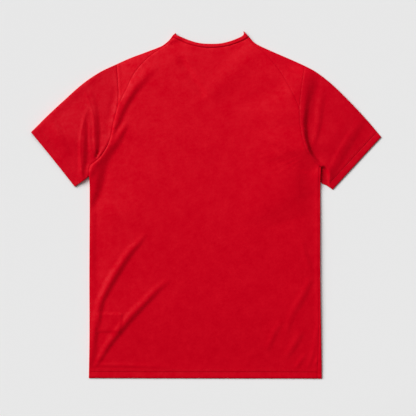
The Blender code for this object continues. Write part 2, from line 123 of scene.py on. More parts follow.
# Colours, and how unevenly they lie
RED = (0.605, 0.0001, 0.0105)
SHADED_SLEEVE_RED = (0.57, 0.0001, 0.0105)  # the body's red, painted slightly darker on the sleeves: painted shade for their duller sheen
FLECK_SCALE = 38.0  # how fine the cloth's uneven tone is
FLECK_RAMP = ((0.3, 0.915), (0.7, 1.085))
GLOSS_SLOPE = 0.3  # the cloth's gloss rises with that tone
GLOSS_START = -0.1
COURSE_SHARE = 0.8  # a knit's courses lie closer than its wales
WAVE_UNIT = 20.0  # a wave texture of scale 1 repeats every tau / 20
THREAD_RAMP = ((0.0, 0.85), (1.0, 1.1))
THREAD_FIBRES = 900.0
THREAD_TWISTS = 2500.0
THREAD_RELIEF = 0.05
THREAD_ROUGHNESS = 0.4
THREAD_GLOSS = 0.1

# The setting. The shares are what each light adds to the light on a white floor at the origin.
CAMERA_HEIGHT = 2.12
CAMERA_PLACE = (0.0038, -0.0069)  # above this spot of the floor
LENS = 85.0
SUN_TURN = math.radians(59.0)  # the light comes from the left, and a little from the neck
SUN_RISE = math.radians(36.0)
SUN_SOFTNESS = math.radians(42.0)
SUN_SHARE = 0.50
LAMP_PLACE = (-0.5, 1.3, 1.5)  # a second, wide lamp beyond the neck
LAMP_SIZE = 1.4
LAMP_SPOTS = (-0.375, -0.125, 0.125, 0.375)  # places across the lamp, as shares of its size
LAMP_SHARE = 0.32
SKY_SHARE = 0.18
FLOOR_TONE = 0.805  # the floor's evenly lit grey
LEAST_LIGHT = 0.85  # where there is less light, the floor is no paler
FLOOR_LEVEL = -0.0004
FLOOR_REACH = 3.0
FLOOR_STEP = 0.1

# Lines of the cut as it lies, each a smooth curve through its points. They run away from the neck
# or down the body, but a cuff's runs up and outwards. The two sides differ a little, as a top
# spread out by hand does.
LEFT = {
    "shoulder": [(-73, 364.2), (-79.5, 355.4), (-89, 347.2), (-98, 341.6), (-130.5, 329), (-165, 316),
        (-193.2, 303.4)],
    "sleeve_top": [(-193.2, 303.4), (-229.3, 285.8), (-267, 260), (-310.3, 221), (-351, 182.2),
        (-377.5, 156.5)],
    "raglan": [(-70.2, 360.6), (-86.7, 345), (-123, 319), (-154, 284.6), (-175.5, 241.5), (-191, 212)],
    "armhole": [(-193.2, 303.4), (-191.2, 280), (-189.6, 258), (-188.8, 236), (-191, 212), (-198.7, 181),
        (-207.4, 140), (-216.4, 120), (-230.5, 100), (-241, 91.5), (-248, 86), (-251.4, 79), (-252.4, 70),
        (-252.4, 61.5)],
    "underarm": [(-252.4, 61.5), (-262, 53), (-283.3, 39)],
    "cuff": [(-283.3, 39), (-330.4, 98.6), (-377.5, 156.5)],
    "side": [(-252.4, 61.5), (-251.6, 50), (-251.2, 28), (-252, -150), (-251.8, -290), (-253.4, -374)],
    "side_seam": [(-252.4, 61.5), (-249.4, 50), (-248.2, 28), (-248.8, -150), (-248.4, -290),
        (-248.8, -374)],
    "forward_seam": [(-69, 327), (-101, 321), (-137.5, 307.5), (-192.6, 283)],
    "front_band_seam": [(-73, 364.2), (-69, 327), (-50.3, 294.5), (-17.6, 248.5), (-5.5, 227.5)],
    "front_neck_edge": [(-66.2, 370.2), (-60.4, 331), (-42.5, 299.8), (-10.4, 253.6), (-4.4, 242)],
}
RIGHT = {
    "shoulder": [(92.8, 362), (99.8, 353.4), (106.3, 347.8), (115, 342.8), (145.5, 329), (185, 312.2),
        (212, 300)],
    "sleeve_top": [(212, 300), (237.3, 286), (270.3, 260.2), (310.3, 221.2), (347, 182.2),
        (377.5, 146.4)],
    "raglan": [(89, 359.4), (104.9, 343.6), (125.2, 327.8), (159.3, 286.8), (189.5, 232.2),
        (200.2, 207.2)],
    "armhole": [(212, 300), (205.8, 262), (203.2, 240), (200.2, 207.2), (200.8, 180), (203.5, 160),
        (207, 140), (213, 120), (221, 106), (238.3, 87), (247.9, 80.6)],
    "underarm": [(247.9, 80.6), (247.8, 48), (259, 42), (272.7, 33)],
    "cuff": [(272.7, 33), (325.6, 90.4), (377.5, 146.4)],
    "side": [(247.9, 80.6), (246.6, 60), (246.2, 28), (246.2, -150), (247.8, -270), (249.4, -375)],
    "side_seam": [(243.4, 83.4), (242.4, 28), (242.2, -150), (243, -270), (239.8, -375)],
    "forward_seam": [(92.5, 333), (118, 323.5), (152, 308.5), (208.2, 280)],
    "front_band_seam": [(92.8, 362), (92.5, 333), (62, 298.8), (21.6, 252), (-5.5, 227.5)],
    "front_neck_edge": [(81.2, 374), (82.6, 338), (55.2, 304.8), (14.8, 258), (-4.4, 242)],
}
BACK_NECK_SEAM = [(-73, 364.2), (-70.2, 360.6), (-60, 355.4), (-40, 346.6), (-12, 339.4), (10, 337.8),
                  (40, 340.6), (60, 345.9), (80, 354.2), (89, 359.4), (92.8, 362)]
BACK_NECK_EDGE = [(-66.2, 370.2), (-64, 366), (-57, 362.6), (-30.8, 352.4), (-12, 347.8), (10, 346.6),
                  (30.8, 347.5), (52, 352.6), (74, 361.6), (80.2, 366.4), (81.2, 374)]
HEM = [(-253.4, -374), (-120, -374.4), (249.4, -375)]

# Folds and troughs of the upper ply, one list of points to each crest. A crest runs down or to
# the left, so its uphill flank is on its right hand and its downhill flank on its left. Where a
# flank is very wide, the fold is a step rather than a ridge. A trough's heights are below zero.
#     x, y, height, uphill flank, downhill flank
FOLDS = {
    "from shoulder to left armhole": [(-100, 303, 0, 16, 12), (-110, 296, 0.9, 22, 14),
        (-121, 289, 1.3, 22, 16), (-133, 279, 2.3, 20, 18), (-141.8, 269, 3.1, 20, 18),
        (-151.6, 257.2, 3.8, 21, 18), (-159.4, 245.5, 4.3, 22, 15), (-175, 219.6, 4.5, 26, 13.5),
        (-187.4, 193.7, 3.9, 28, 12.5), (-191.6, 179.5, 3.7, 28, 11), (-197.3, 165.7, 3.3, 24, 9),
        (-201, 156, 1.9, 16, 8), (-203, 147, 0, 8, 8)],
    "under left armhole": [(-170, 181, 0, 8, 8), (-176.2, 167.1, 1.9, 12, 9),
        (-182.4, 157.1, 2.7, 14, 11), (-193.4, 139.6, 3.1, 28, 15), (-203, 130, 3.3, 34, 18),
        (-210.6, 123.7, 3.3, 38, 21), (-223.6, 104.2, 3.5, 46, 21), (-231.5, 90.2, 3.7, 54, 24),
        (-236, 70, 4.3, 60, 25), (-239.5, 52, 4.5, 60, 25), (-242.5, 36, 4.4, 50, 24),
        (-247, 20, 3.6, 40, 20), (-250.5, 2, 1.7, 30, 15), (-253, -14, 0, 10, 12)],
    "the foot of it": [(-176, 154, 0, 12, 40), (-182, 140, -1.2, 14, 70), (-190, 124, -2.2, 16, 90),
        (-196, 111, -2.6, 19, 100), (-207, 93, -2.6, 20, 100), (-212, 82, -2.8, 21, 100),
        (-215.5, 66, -3.1, 21, 100), (-218, 48, -3.3, 22, 100), (-222, 32, -3.2, 21, 100),
        (-229.5, 15.5, -2.6, 18, 90), (-238, -2, -1, 14, 60), (-243, -16, 0, 12, 40)],
    "long fold on the left": [(-128, -58, 0, 8, 8), (-136, -68, 0.9, 9, 9), (-146, -81, 2, 11, 10),
        (-165, -100, 3.3, 13, 13), (-179, -120, 4, 13, 13.5), (-204, -160, 4.3, 14, 14),
        (-215, -180, 4.3, 13, 13.5), (-225, -200, 4.1, 12, 13), (-231, -218, 4, 13, 13),
        (-234, -238, 4.3, 16, 12), (-238.5, -260, 4.2, 20, 12), (-244, -290, 3.4, 20, 13),
        (-248, -320, 2.6, 20, 16), (-251, -340, 2, 20, 14), (-253, -354, 0, 20, 10)],
    "longer fold below it": [(-76, -158, 0, 8, 8), (-88, -167, 0.8, 10, 10), (-105, -180, 1.9, 12, 12),
        (-125, -200, 3.3, 12.5, 13), (-144, -220, 3.7, 13, 13), (-164, -240, 3.8, 13.5, 14),
        (-180, -260, 3.8, 13.5, 13), (-211, -300, 3.2, 13, 11), (-223, -320, 2.5, 11, 10),
        (-235, -340, 1.7, 8, 8), (-243, -352, 0, 6, 6)],
    "low on the right": [(227, -152, 0, 10, 11), (220, -168, 1.2, 11, 12), (201, -205, 1.6, 12, 14),
        (183, -237, 0.9, 11, 13), (176, -262, 0.7, 10, 10), (170, -284, 0, 10, 10)],
    "below it": [(206, -266, 0, 10, 10), (200, -280, 1, 12, 12), (186, -305, 1.5, 12, 13),
        (177, -320, 0.8, 11, 11), (171, -332, 0, 10, 10)],
    "beside it": [(161, -246, 0, 8, 9), (157, -258, 0.6, 9, 10), (147, -273, 1.1, 9, 11),
        (136, -299, 0.8, 9, 11), (128, -318, 0, 8, 9)],
    "towards the hem on the right": [(216, -318, 0, 6, 7), (209, -328, 0.6, 7, 8), (198, -344, 0.9, 7, 8),
        (190, -355, 0, 6, 7)],
    "down the right side": [(239, -262, 0, 6, 7), (236, -276, 0.7, 7, 8), (233, -305, 0.8, 7, 8),
        (228, -326, 0.8, 7, 8), (221, -345, 0.5, 7, 8), (216, -354, 0, 6, 7)],
    "in the right corner": [(243, -326, 0, 6, 6), (237, -338, 0.9, 6, 7), (230, -350, 0, 6, 6)],
    "faint, above on the right": [(205, -72, 0, 12, 9), (210, -100, 0.8, 12, 9), (219, -125, 0.9, 12, 9),
        (231, -156, 0, 10, 9)],
    "soft, from the right armhole": [(198, 110, 0, 10, 12), (155, 136, 1.2, 11, 14),
        (118, 158, 0, 10, 12)],
    "broad rise under the right arm": [(178, 104, 0, 90, 80), (168, 84, 3, 110, 84),
        (164, 50, 4.5, 120, 84), (168, 14, 4, 120, 80), (178, -14, 1.6, 100, 70), (184, -32, 0, 80, 60)],
    "inside the left side seam": [(-244, -6, 0, 30, 9), (-244, -30, 0.8, 30, 9), (-244, -150, 0.6, 30, 9),
        (-243, -205, 0, 20, 9)],
    "along the right side": [(247, 52, 0, 14, 4), (246.6, 26, 1.5, 16, 4), (246.6, -60, 2, 17, 4),
        (246.6, -150, 2, 17, 4), (248.2, -270, 2, 17, 4), (249, -340, 1.6, 16, 4),
        (249.6, -368, 0.8, 12, 4)],
    "along the left side": [(-251.5, 36, 0, 4, 14), (-251.5, 10, 1.3, 4, 16), (-252, -60, 1.5, 4, 16),
        (-252, -150, 1.5, 4, 16), (-251.8, -230, 0.9, 4, 16), (-252, -280, 0, 4, 12)],
    "right shoulder, down from its seam": [(86, 360, 0, 60, 16), (96, 350, 1.1, 80, 30),
        (112, 336, 2.4, 90, 36), (138, 306, 3.2, 100, 44), (158, 283, 3, 100, 44), (174, 256, 2, 90, 36),
        (188, 232, 0.8, 70, 26), (198, 212, 0, 40, 14)],
    "below the left neck point": [(-46, 362, 0, 30, 9), (-58, 360, 1.6, 40, 11),
        (-72, 356.5, 2.2, 40, 11), (-84, 352, 2.2, 40, 11), (-94, 348, 0, 30, 9)],
    "above the hem": [(-60, -350, 0, 7, 6), (-120, -348.5, 0.6, 7, 5), (-160, -347, 0.9, 7, 5),
        (-224, -345.5, 0.9, 7, 5), (-240, -345, 0, 7, 5)],
    # the front's V neck lies beneath: the back steps up over its right side, and dips at its left
    "over the V, right side": [(108, 349, 0, 20, 30), (99, 339.5, 0.5, 22, 40), (88, 327.5, 1.2, 24, 44),
        (71, 309, 1.5, 26, 46), (38, 274, 1.6, 28, 44), (10.5, 243, 1.3, 24, 36), (-2, 229, 0, 18, 28)],
    "over the V, left side": [(-60, 320, 0, 14, 12), (-50, 304, -1.9, 15, 12), (-36, 283, -1.7, 14, 12),
        (-22, 260, -1.5, 14, 12), (-9, 240, -1.4, 12, 12), (-4, 230, 0, 10, 10)],
    # left sleeve
    "the inner step's sharp edge": [(-262, 250, 0, 6, 5), (-257.6, 237, 0.5, 5, 5),
        (-251.5, 220.6, 0.7, 4.5, 5), (-244.9, 200.6, 0.8, 4.5, 4), (-241.7, 179.6, 0.8, 4.5, 4),
        (-241, 157.4, 0.8, 4.5, 4), (-240.4, 137.5, 0.8, 4.5, 4), (-238.5, 122, 0.5, 4, 3),
        (-236, 113, 0, 4, 3)],
    "hollow beyond the middle step": [(-277, 168, 0, 6, 6), (-276, 145, -0.5, 7, 6),
        (-276, 115, -0.7, 7, 6), (-276, 85, -0.9, 7, 6), (-275, 62, 0, 7, 6)],
    "the middle step's sharp edge": [(-256, 206, 0, 5, 4), (-260.6, 193, 0.5, 4.5, 4.5),
        (-264, 177.4, 0.8, 4.5, 4.5), (-267, 159.6, 0.8, 4.5, 4.5), (-269.5, 137.5, 0.8, 4.5, 4.5),
        (-270, 115.3, 0.8, 4.5, 4.5), (-269.5, 87.6, 0.8, 4.5, 4.5), (-267.5, 71, 0.7, 4.5, 4.5),
        (-265, 62, 0, 4, 4)],
    "between the steps": [(-255.5, 190, 0, 4, 6), (-251, 175, 0.5, 4, 7),
        (-250.5, 153, 0.7, 4, 8), (-250.5, 131, 0.8, 4, 8), (-246.7, 115, 0.9, 4, 7),
        (-241.5, 103.5, 0.8, 4, 6), (-236, 97, 0, 4, 4)],
    "outer": [(-336, 190, 0, 20, 14), (-327, 168, 1.3, 22, 15), (-314, 140, 1.4, 22, 16),
        (-302, 112, 1.3, 20, 15), (-292, 84, 0, 18, 14)],
    "along its top": [(-224, 284, 0, 7, 12), (-240, 274, 0.7, 7, 16),
        (-269, 252.5, 1, 7, 17), (-307, 218, 1, 7, 17), (-347, 179.5, 1, 7, 17), (-366, 161, 0.8, 7, 15),
        (-376, 150, 0, 7, 10)],
    "hollow beside the armhole": [(-196, 262, 0, 6, 12), (-198, 245, -0.7, 8, 14),
        (-200.5, 226, -1.1, 9, 15), (-203, 207, -1.5, 11, 16), (-206, 188, -1.7, 14, 15),
        (-208.5, 168, -1.5, 15, 13), (-211.5, 150, -0.8, 13, 12), (-215, 136, 0, 8, 8)],
    "pinch": [(-209, 146, 0, 6, 5), (-213.5, 138, 0.2, 6, 7), (-218.5, 127, 0.5, 6, 8),
        (-223, 117, 0.8, 7, 8), (-228, 109, 0.6, 6, 6), (-233, 103, 0, 5, 5)],
    "hole under the pinch": [(-231, 118, 0, 3.5, 3.5), (-232, 113, -3.2, 4, 4),
        (-234, 106, -2.8, 3.5, 3.5), (-237, 100, 0, 3, 3)],
    "left underarm seam": [(-224, 101, 0, 5, 8), (-232, 95.5, 1.4, 8, 10), (-238, 88, 2.2, 9, 12),
        (-244, 79, 2.4, 9, 14), (-249, 69, 2.2, 9, 14), (-251, 58, 0, 8, 12)],
    # right sleeve
    "along the armhole": [(214, 292, 0, 40, 26), (212, 270, 1.8, 50, 34),
        (210, 245, 2.8, 70, 26), (208, 220, 3.8, 120, 18), (207.5, 200, 5, 150, 14.5),
        (206.2, 180, 6.4, 150, 14), (207.5, 160, 7.2, 140, 13), (210.5, 140, 8.6, 120, 11),
        (216, 124, 9.2, 90, 9.5), (222, 110, 7.4, 60, 9), (231.5, 98, 5, 40, 8), (243, 88, 1.4, 20, 6),
        (252, 80, 0, 8, 6)],
    "beyond the hollow": [(252, 256, 0, 14, 12), (246, 230, 1.2, 14, 14),
        (243, 205, 1.6, 12, 13), (241, 180, 1.8, 12, 12), (237, 155, 1.4, 10, 10), (233, 138, 0.8, 8, 8),
        (230, 124, 0, 6, 6)],
    "gentle slope from the armhole": [(213, 300, 0, 40, 26), (210, 286, 3.6, 50, 34),
        (208, 270, 5, 55, 38), (208, 250, 4.4, 60, 36), (210, 225, 3.4, 100, 30),
        (210, 205, 2.6, 130, 26), (211, 188, 1.4, 130, 24), (212, 172, 0, 100, 20)],
    "diagonal": [(336, 190, 0, 14, 14), (327.5, 173, 0.9, 14, 15),
        (309.5, 143.5, 1.4, 14, 15), (290.5, 111, 1.4, 14, 15), (275, 81, 1.1, 12, 14),
        (267.5, 66, 0.6, 10, 10), (263, 52, 0, 8, 8)],
    "the diagonal's sharp edge": [(318, 170, 0, 7, 7), (301.5, 141, 0.4, 7, 8),
        (282.5, 109, 0.45, 7, 8), (268.5, 80, 0.4, 7, 8), (262, 62, 0, 6, 6)],
}
UPHILL_SHARE = 0.62  # how much of a fold rises on its own uphill flank
SKIRT = 40.0  # and the rest rises over this much more, before it
NARROW = 6.0  # but not where the uphill flank is no wider than this

# Folds of the left sleeve that only step down towards the armhole: the cloth stays up from the
# crest to the cuff. Each runs down, and its height at a spot is that of its crest across from it.
#     x, y, height, width of the step
STEPS = {
    "nearest the armhole": [(-254, 256, 0, 12), (-248.5, 232, 1.2, 13), (-244, 215, 2.1, 13),
        (-241.7, 198, 3.2, 13), (-240.3, 178, 4.2, 13), (-240, 158, 5, 14), (-239.5, 140, 5.2, 13),
        (-238.5, 126, 4.6, 10.5), (-240, 112, 2.8, 8), (-243, 100, 1, 8), (-247, 88, 0, 8)],
    "middle": [(-254, 216, 0, 8), (-261.5, 188, 1.4, 10), (-264.5, 168, 2.9, 12),
        (-265.2, 140, 4.6, 13.5), (-266.4, 115, 5.2, 14), (-267.5, 93, 5.2, 14), (-269, 76, 4.6, 11),
        (-268, 62, 3.6, 9), (-265, 46, 2, 8)],
}
# how far down the crest that height is taken from, for each millimetre away from it
STEP_LEAN = 0.2
STEP_AT_CUFF = 0.5  # how much of it the cuff's edge has
STEP_RUN = 40.0  # and the cloth gains the rest over this way

# Broad rises where the cloth lies loose, each an oval.
#     x, y, reach along x, reach along y, height
SWELLS = [(-256, 92, 46, 56, 1.6), (-256, 60, 30, 34, 1.6), (246, 66, 50, 50, 3.6),
          (250, 64, 28, 36, 2.6), (282, 120, 70, 84, 1.6)]

# The right sleeve's cloth drops beside the body's raised edge, down to the least lift.
#     x, y, height, uphill flank, downhill flank
PIT = [(252, 83, 0, 8, 4), (253, 78, -10, 10, 8), (254, 68, -15, 13, 12), (254.5, 55, -15, 13, 12),
       (255.5, 46, -13, 13, 11), (257, 38, -7, 11, 9), (259, 30, 0, 8, 6)]

# A care label lies inside, low on the left, and is felt through the cloth.
LABEL = [(-232, -233), (-232, -273.5), (-186, -273.5), (-180, -234)]
LABEL_RISE = 1.6
LABEL_EDGE = 6.0

# How the sewing shows beside each seam: a groove along it, and a lip where the seam's turned
# edges lie under the cloth. The lip's place and flanks are told from the seam towards +X.
#    side, line, groove's depth, its reach, lip's place, flank before it, flank after it, height
SEAM_RELIEF = [
    (0, "armhole", 0.6, 2.4, -3.0, 3.5, 3.0, 0.2),
    (0, "armhole", 0.0, 1.0, 3.2, 3.0, 6.0, 0.45),
    (1, "armhole", 0.35, 2.2, 3.4, 3.0, 5.0, 0.1),
    (0, "raglan", 0.45, 2.2, 3.0, 3.0, 5.0, 0.15),
    (1, "raglan", 0.45, 2.2, -3.0, 5.0, 3.0, 0.15),
    (1, "side_seam", 0.35, 2.0, -3.5, 4.0, 3.0, 0.2),
]
NECK_GROOVE = 0.7
NECK_GROOVE_REACH = 2.4

# The way over which the cloth rises inside each folded edge, by side
#     left, right
EDGE_RUNS = {"shoulder": (16.0, 6.0), "sleeve_top": (1.0, 10.0), "underarm": (9.0, 9.0),
             "side": (15.0, 2.5)}


# Lines in the plane

def smooth_line(points, step=LINE_STEP):
    """A Catmull-Rom curve through points, sampled about every step, with every point kept."""
    points = np.array(points, float)
    ends = np.vstack([2 * points[0] - points[1], points, 2 * points[-1] - points[-2]])
    line = [points[0]]
    for before, start, stop, after in zip(ends, ends[1:], ends[2:], ends[3:]):
        reach = np.hypot(*(stop - start)[:2])
        count = max(1, round(reach / step))
        leave = (stop - before) * reach / (np.hypot(*(start - before)[:2]) + reach)
        arrive = (after - start) * reach / (reach + np.hypot(*(after - stop)[:2]))
        for t in np.arange(1, count + 1) / count:
            line.append((1 + 2 * t) * (1 - t) ** 2 * start + t * (1 - t) ** 2 * leave
                        + t * t * (3 - 2 * t) * stop + t * t * (t - 1) * arrive)
    return np.array(line)


def evenly(line, count):
    """The line, resampled to count points at equal distances along it."""
    lengths = np.hypot(*np.diff(line, axis=0).T)
    along = np.concatenate([[0.0], np.cumsum(lengths)])
    wanted = np.linspace(0.0, along[-1], count)
    return np.column_stack([np.interp(wanted, along, places) for places in line.T])


def length_of(line):
    return np.hypot(*np.diff(line, axis=0).T).sum()


def part_of(line, start=None, stop=None):
    """The stretch of a line between its points nearest to start and stop."""
    first, last = (end if spot is None else np.hypot(*(line - spot).T).argmin()
                   for spot, end in ((start, 0), (stop, len(line) - 1)))
    return line[first:last + 1].copy()


def ending_at(line, spot):
    """The line, with its last point moved to a spot."""
    return np.vstack([line[:-1], spot])


def left_normals(line):
    """Unit normals on the left of a line, stretched at bends so that offsets stay parallel."""
    runs = np.diff(line, axis=0)
    runs /= np.hypot(*runs.T)[:, None]
    sides = np.column_stack([-runs[:, 1], runs[:, 0]])
    normals = np.vstack([sides[:1], sides[:-1] + sides[1:], sides[-1:]])
    normals /= np.hypot(*normals.T)[:, None]
    bends = np.concatenate([[1.0], (normals[1:-1] * sides[1:]).sum(1), [1.0]])
    return normals / np.maximum(bends, LEAST_BEND)[:, None]


def crossing(a, b, c, d):
    """Where the line through a and b meets the line through c and d."""
    run, other = b - a, d - c
    turn = run[0] * other[1] - run[1] * other[0]
    if abs(turn) < LEAST_TURN * np.hypot(*run) * np.hypot(*other):
        return (b + c) / 2
    return a + run * ((c - a)[0] * other[1] - (c - a)[1] * other[0]) / turn


def distance_to(line, spots):
    """For each spot: its distance to a line, the nearest stretch, how far along it, and the side,
    which is above zero on the line's left."""
    start, run = line[:-1, :2], np.diff(line[:, :2], axis=0)
    gap = spots[:, None] - start
    along = np.clip((gap * run).sum(2) / (run ** 2).sum(1), 0.0, 1.0)
    gap = gap - along[..., None] * run
    distances = np.hypot(gap[..., 0], gap[..., 1])
    stretch = distances.argmin(1)
    rows = np.arange(len(spots))
    side = run[stretch, 0] * gap[rows, stretch, 1] - run[stretch, 1] * gap[rows, stretch, 0]
    return distances[rows, stretch], stretch, along[rows, stretch], side


def within(line, spots, reach):
    """Which spots lie in a line's box, grown by reach."""
    low, high = line[:, :2].min(0) - reach, line[:, :2].max(0) + reach
    return np.flatnonzero(((spots > low) & (spots < high)).all(1))


def is_inside(outline, spots):
    """Which spots lie inside a closed outline."""
    ax, ay = outline.T
    bx, by = np.roll(outline, -1, axis=0).T
    level = np.where(ay == by, 1.0, by - ay)
    inside = np.empty(len(spots), bool)
    for row, (x, y) in enumerate(spots):
        spans = (ay > y) != (by > y)
        inside[row] = (x < ax[spans] + (bx - ax)[spans] * (y - ay[spans]) / level[spans]).sum() % 2
    return inside


def clear_of(spots, others, gap):
    """Which spots lie further than gap from every one of the others."""
    tree = KDTree(len(others))
    for index, (x, y) in enumerate(others):
        tree.insert((x, y, 0.0), index)
    tree.balance()
    return np.array([tree.find((x, y, 0.0))[2] > gap for x, y in spots], bool)


SIDES, GUIDES = ([{name: smooth_line(points, step) for name, points in side.items()}
                  for side in (LEFT, RIGHT)] for step in (LINE_STEP, GUIDE_STEP))
CRESTS, STEP_CRESTS = ([smooth_line(crest, FOLD_STEP) for crest in table.values()]
                       for table in (FOLDS, STEPS))
PIT_LINE = smooth_line(PIT, FOLD_STEP)
HEM_LINES = [smooth_line(HEM, GUIDE_STEP)] + [guide["cuff"] for guide in GUIDES]
NECK_LINE = smooth_line(BACK_NECK_SEAM, GUIDE_STEP)


# The lie of the upper ply

def bump(reach):
    """A rounded ridge's height, 1 on its crest and 0 from reach 1 outwards."""
    return np.cos(np.clip(reach, 0.0, 1.0) * math.pi / 2) ** 2


def ease(reach):
    """0 to 1, level at both ends."""
    reach = np.clip(reach, 0.0, 1.0)
    return reach * reach * (3 - 2 * reach)


def ridge(crest, spots):
    """The height at each spot of one fold or trough, from its crest's sampled rows."""
    height = np.zeros(len(spots))
    rows = within(crest, spots, crest[:, 3:].max() + SKIRT)
    if len(rows):
        distance, stretch, along, side = distance_to(crest, spots[rows])
        level, uphill, downhill = (crest[stretch, 2:]
                                   + along[:, None] * (crest[stretch + 1] - crest[stretch])[:, 2:]).T
        skirt = SKIRT * ease((uphill - NARROW) / NARROW)
        rise = UPHILL_SHARE * bump(distance / uphill)
        rise += (1 - UPHILL_SHARE) * bump(distance / (uphill + skirt))
        height[rows] = level * np.where(side < 0, rise, bump(distance / downhill))
    return height


def step(crest, spots):
    """The height at each spot of one step, from its crest's sampled rows."""
    place = np.interp(-spots[:, 1], -crest[:, 1], crest[:, 0])
    west = np.maximum(place - spots[:, 0], 0.0)
    level, width = (np.interp(STEP_LEAN * west - spots[:, 1], -crest[:, 1], crest[:, axis])
                    for axis in (2, 3))
    return level * bump(np.maximum(spots[:, 0] - place, 0.0) / width)


def seam_marks(spots):
    """The grooves along the seams, and the lips beside them."""
    total = -NECK_GROOVE * bump(distance_to(NECK_LINE, spots)[0] / NECK_GROOVE_REACH)
    for side, name, depth, reach, place, uphill, downhill, height in SEAM_RELIEF:
        line = GUIDES[side][name]
        rows = within(line, spots, abs(place) + uphill + downhill)
        if not len(rows):
            continue
        distance, _, _, hand = distance_to(line, spots[rows])
        across = np.copysign(distance, hand) - place
        lip = height * bump(np.where(across < 0, -across / uphill, across / downhill))
        total[rows] += lip - depth * bump(distance / reach)
    return total


def label_mark(spots):
    """The low step all round the care label."""
    corners = np.array(LABEL, float)
    inside = np.full(len(spots), np.inf)
    for start, stop in zip(corners, np.roll(corners, -1, axis=0)):
        run = (stop - start) / np.hypot(*(stop - start))
        inside = np.minimum(inside, (spots - start) @ np.array((-run[1], run[0])))
    return LABEL_RISE * ease(inside / LABEL_EDGE + 0.5)


def ripple(spots):
    """The slight unevenness of cloth that lies loose: waves of unlike lengths, in millimetres."""
    x, y = spots.T
    level = np.sin(x / 17.0 + 1.3 * np.sin(y / 41.0)) * np.sin(y / 23.0 + 0.9)
    slanting = np.sin((x + y) / 31.0 + 0.5) * np.sin((x - 1.6 * y) / 27.0)
    return RIPPLE * level + SLANTING_RIPPLE * slanting


def edge_rise(spots):
    """How the upper ply rises from its folded edges, and stays low along the hems."""
    near, far = np.ones(len(spots)), np.ones(len(spots))
    for side, guide in enumerate(GUIDES):
        for name, runs in EDGE_RUNS.items():
            away = distance_to(guide[name], spots)[0]
            near *= 1 - (1 - np.clip(away / runs[side], 0.0, 1.0)) ** 2
            if name != "sleeve_top":
                far *= ease(away / LOFT_RUN)
    for line, run in zip(HEM_LINES, (HEM_RUN, CUFF_RUN, CUFF_RUN)):
        away = ease((distance_to(line, spots)[0] - HEM_START) / run)
        near *= away
        far *= away
    return SHOULDER_RISE * near + LOFT * far


def along_hems(spots, reach):
    """For each hem: its share of the relief, which spots it may reach, and their distances."""
    for line, share in zip(HEM_LINES, (1.0, CUFF_SHARE, CUFF_SHARE)):
        rows = within(line, spots, reach)
        if len(rows):
            yield share, rows, distance_to(line, spots[rows])[0]


def sewing(spots):
    """How the turned hems rise and sink across their depth."""
    total = np.zeros(len(spots))
    for share, rows, distance in along_hems(spots, HEM_PROFILE[-1][0]):
        for (start, low), (stop, high) in zip(HEM_PROFILE, HEM_PROFILE[1:]):
            spans = (distance >= start) & (distance < stop)
            rise = low + (high - low) * ease((distance[spans] - start) / (stop - start))
            total[rows[spans]] = rise * share
        total[rows] -= NEEDLE_GROOVE * bump(np.abs(distance - HEM_ROWS[0]) / NEEDLE_REACH)
    return total


def wall_at(spots):
    """Thickness of the cloth: more in a turned hem, and rounded off at its edge."""
    wall = np.full(len(spots), WALL)
    for _, rows, distance in along_hems(spots, HEM_TURN + TURN_RUN):
        hem = HEM_WALL + (WALL - HEM_WALL) * ease((distance - HEM_TURN) / TURN_RUN + 0.5)
        wall[rows] = EDGE_WALL + (hem - EDGE_WALL) * ease(distance / EDGE_ROUND)
        wall[rows] -= NEEDLE_PRESS * bump(np.abs(distance - HEM_ROWS[0]) / NEEDLE_REACH)
    return wall


def upper_outside(spots, pitted=False):
    """Height of the upper ply's outside at each spot."""
    height = edge_rise(spots) + ripple(spots) + seam_marks(spots) + label_mark(spots)
    for crest in CRESTS + [PIT_LINE] * pitted:
        height += ridge(crest, spots)
    inland = distance_to(GUIDES[0]["cuff"], spots)[0] - HEM_START
    held = STEP_AT_CUFF + (1 - STEP_AT_CUFF) * ease(inland / STEP_RUN)
    for crest in STEP_CRESTS:
        height += held * step(crest, spots)
    for x, y, reach_x, reach_y, rise in SWELLS:
        height += rise * bump(np.hypot((spots[:, 0] - x) / reach_x, (spots[:, 1] - y) / reach_y))
    return HIGH_OUTSIDE + np.maximum(height, LEAST_LIFT) + sewing(spots)


def lower_outside(spots):
    """Height of the lower ply's outside: on the floor, but for the sunk parts of the hems."""
    return -np.minimum(sewing(spots), 0.0) * LOWER_RELIEF


# Shells of cloth

class Sheet:
    """The middle surface of a piece: its points, half its wall as a vector that points out of the
    cloth's outside, and its faces."""

    def __init__(self):
        self.points, self.half, self.faces = [], [], []

    def add(self, points, half):
        """Adds points with their half walls, and returns their indices."""
        self.points += points.tolist()
        self.half += half.tolist()
        return np.arange(len(self.points) - len(points), len(self.points))

    def lay(self, spots, outside, wall, up=1):
        """Level points over spots, from their outside's height. up is -1 where they face down."""
        half = np.zeros((len(spots), 3))
        half[:, 2] = up * wall / 2
        return self.add(np.column_stack([spots, outside - half[:, 2]]), half)

    def add_strips(self, rows):
        """Quads between rows of points, facing out where each row runs on the next one's left."""
        for first, second in zip(rows, rows[1:]):
            self.faces += np.column_stack([first[:-1], second[:-1], second[1:], first[1:]]).tolist()

    def make(self, name):
        """A closed shell: the outside, the inside, and a rim along every free edge."""
        points, half = np.array(self.points), np.array(self.half)
        count = len(points)
        inner = [[corner + count for corner in reversed(face)] for face in self.faces]
        edges = {(face[i - 1], face[i]) for face in self.faces for i in range(len(face))}
        rim = [(b, a, a + count, b + count) for a, b in edges if (b, a) not in edges]
        return make_object(name, np.vstack([points + half, points - half]) * MM,
                           self.faces + inner + sorted(rim))


